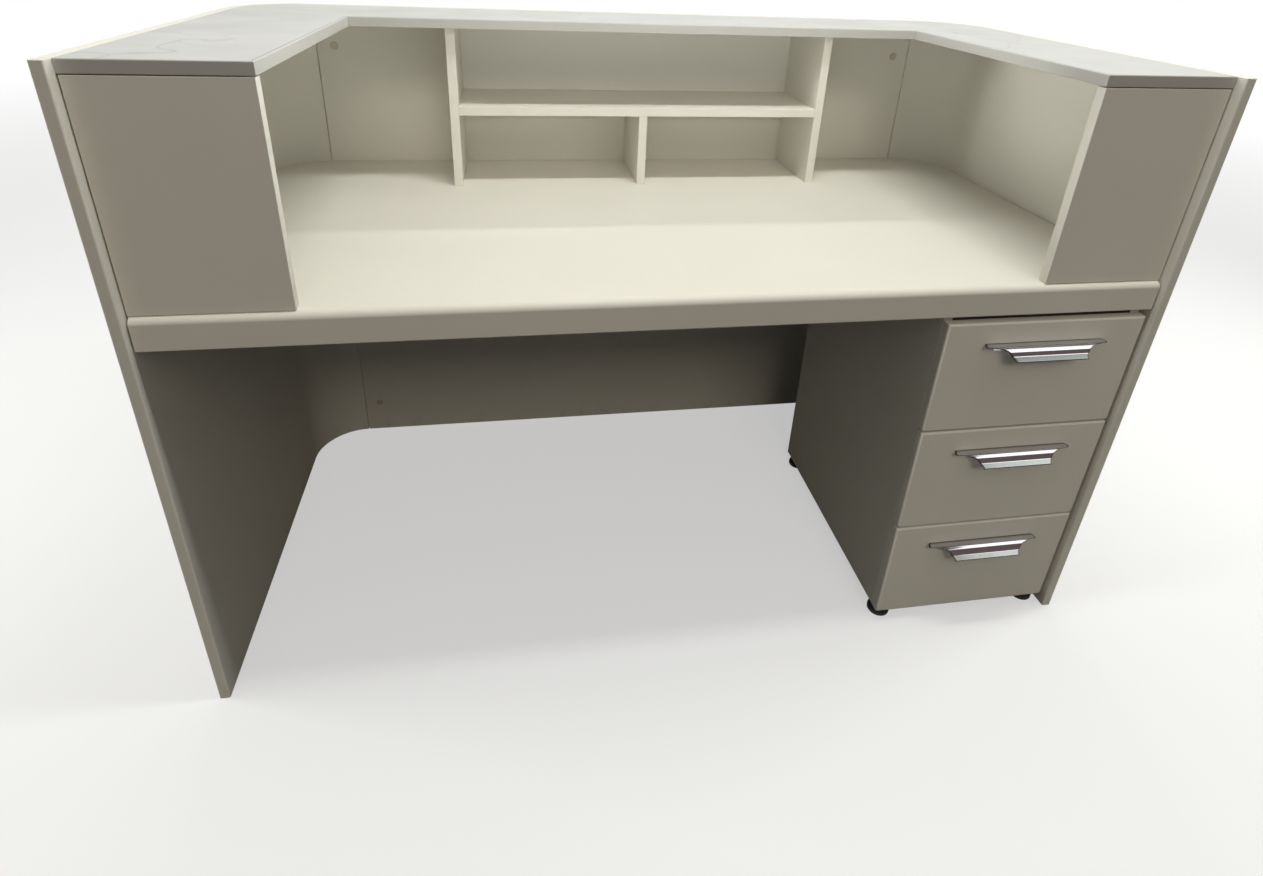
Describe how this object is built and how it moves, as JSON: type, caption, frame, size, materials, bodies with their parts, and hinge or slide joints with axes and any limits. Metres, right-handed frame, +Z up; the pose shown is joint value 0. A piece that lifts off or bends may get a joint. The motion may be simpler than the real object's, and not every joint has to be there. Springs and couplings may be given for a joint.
{
  "type": "reception desk",
  "caption": "Reception desk with bent rounded end panels, a raised counter on wing panels, a worktop, a pigeonhole organiser and a drawer pedestal with chromed ledge pulls.",
  "frame": {"origin": "on the floor, under the middle of the desk's box with its drawers shut and its pulls included", "axes": "+Z up, +X to the right of the person at the desk, +Y towards the visitor"},
  "size_m": [1.65, 0.8238, 1.1],
  "materials": {
    "laminate": "satin off-white laminate",
    "counter_laminate": "satin pale grey laminate with faint grey veins",
    "carcass_laminate": "matt off-white laminate",
    "batten_wood": "bare planed softwood",
    "hardboard": "matt painted hardboard",
    "runner_steel": "zinc plated",
    "chrome": "polished chrome plate",
    "black_plastic": "matt moulded",
    "cover_plastic": "matt moulded, grey-beige"
  },
  "bodies": {
    "desk": {"left_end_panel": "laminate", "right_end_panel": "laminate", "centre_front_panel": "laminate", "worktop": "laminate", "left_wing_panel": "laminate", "right_wing_panel": "laminate", "organiser_left_upright": "laminate", "organiser_right_upright": "laminate", "organiser_shelf": "laminate", "organiser_divider": "laminate", "pedestal_left_side": "laminate", "pedestal_right_side": "laminate", "counter_left": "counter_laminate", "counter_centre": "counter_laminate", "counter_right": "counter_laminate", "pedestal_top": "carcass_laminate", "pedestal_bottom": "carcass_laminate", "pedestal_back": "carcass_laminate", "worktop_cleat_left": "batten_wood", "worktop_cleat_right": "batten_wood", "worktop_cleat_rear": "batten_wood", "pedestal_foot_front_left": "black_plastic", "pedestal_foot_front_right": "black_plastic", "pedestal_foot_rear_left": "black_plastic", "pedestal_foot_rear_right": "black_plastic", "fitting_cover_lower_left": "cover_plastic", "fitting_cover_lower_right": "cover_plastic", "fitting_cover_upper_left": "cover_plastic", "fitting_cover_upper_right": "cover_plastic", "runner_rail_bottom_left": "runner_steel", "runner_rail_bottom_right": "runner_steel", "runner_rail_middle_left": "runner_steel", "runner_rail_middle_right": "runner_steel", "runner_rail_top_left": "runner_steel", "runner_rail_top_right": "runner_steel"},
    "drawer_bottom": {"drawer_front_bottom": "laminate", "drawer_left_bottom": "carcass_laminate", "drawer_right_bottom": "carcass_laminate", "drawer_back_bottom": "carcass_laminate", "drawer_base_bottom": "hardboard", "drawer_pull_bottom": "chrome", "drawer_slide_bottom_left": "runner_steel", "drawer_slide_bottom_right": "runner_steel"},
    "drawer_middle": {"drawer_front_middle": "laminate", "drawer_left_middle": "carcass_laminate", "drawer_right_middle": "carcass_laminate", "drawer_back_middle": "carcass_laminate", "drawer_base_middle": "hardboard", "drawer_pull_middle": "chrome", "drawer_slide_middle_left": "runner_steel", "drawer_slide_middle_right": "runner_steel"},
    "drawer_top": {"drawer_front_top": "laminate", "drawer_left_top": "carcass_laminate", "drawer_right_top": "carcass_laminate", "drawer_back_top": "carcass_laminate", "drawer_base_top": "hardboard", "drawer_pull_top": "chrome", "drawer_slide_top_left": "runner_steel", "drawer_slide_top_right": "runner_steel"}
  },
  "joints": [
    {"name": "drawer_bottom_slide", "type": "slide", "parent": "desk", "child": "drawer_bottom", "axis": [0, -1, 0], "range_m": [0, 0.34]},
    {"name": "drawer_middle_slide", "type": "slide", "parent": "desk", "child": "drawer_middle", "axis": [0, -1, 0], "range_m": [0, 0.34]},
    {"name": "drawer_top_slide", "type": "slide", "parent": "desk", "child": "drawer_top", "axis": [0, -1, 0], "range_m": [0, 0.34]}
  ]
}
